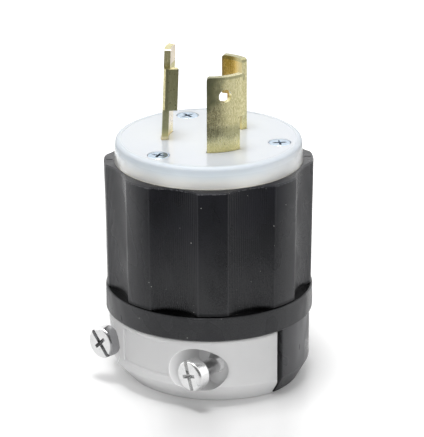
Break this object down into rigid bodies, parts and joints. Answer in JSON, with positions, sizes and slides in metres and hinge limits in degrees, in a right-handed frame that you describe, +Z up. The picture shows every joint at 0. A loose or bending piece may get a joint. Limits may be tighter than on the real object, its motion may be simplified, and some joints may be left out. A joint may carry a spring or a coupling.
{
  "type": "locking plug",
  "caption": "Cord-end locking plug: curved brass blades and a hooked ground blade in a white face, a fluted grip and a screw-down cord clamp.",
  "frame": {"origin": "middle of the plug's outline on the surface it stands on, under the cord clamp", "axes": "+Z up along the plug's axis through the blades, -Y the side of the clamp screws' heads"},
  "size_m": [0.0502, 0.0502, 0.0818],
  "materials": {
    "white_nylon": "smooth moulded, slightly blue white",
    "block_nylon": "moulded, satin",
    "black_nylon": "satin moulded, a little dusty and scratched",
    "grey_nylon": "satin moulded light grey",
    "blade_brass": "aged, stained and scuffed",
    "screw_brass": "turned, bare",
    "plated_steel": "bright plated",
    "green_screw": "green dyed"
  },
  "bodies": {
    "plug_body": {"face_plate": "white_nylon", "terminal_block": "block_nylon", "neutral_blade": "blade_brass", "line_blade": "blade_brass", "ground_blade": "blade_brass", "fluted_shell": "black_nylon", "rear_housing": "black_nylon", "clamp_screw_left": "plated_steel", "clamp_screw_right": "plated_steel", "clamp_nut_left": "plated_steel", "clamp_nut_right": "plated_steel", "terminal_screw_neutral": "plated_steel", "terminal_screw_line": "screw_brass", "terminal_screw_ground": "green_screw", "wire_clamp_neutral": "plated_steel", "wire_clamp_line": "plated_steel", "wire_clamp_ground": "plated_steel", "assembly_screw_1": "plated_steel", "assembly_screw_2": "plated_steel", "assembly_screw_3": "plated_steel", "threaded_insert_1": "screw_brass", "threaded_insert_2": "screw_brass", "threaded_insert_3": "screw_brass"},
    "clamp_jaw": {"clamp_jaw": "grey_nylon"}
  },
  "joints": [
    {"name": "jaw_slide", "type": "slide", "parent": "plug_body", "child": "clamp_jaw", "axis": [0, -1, 0], "range_m": [-0.001, 0.0064]}
  ]
}
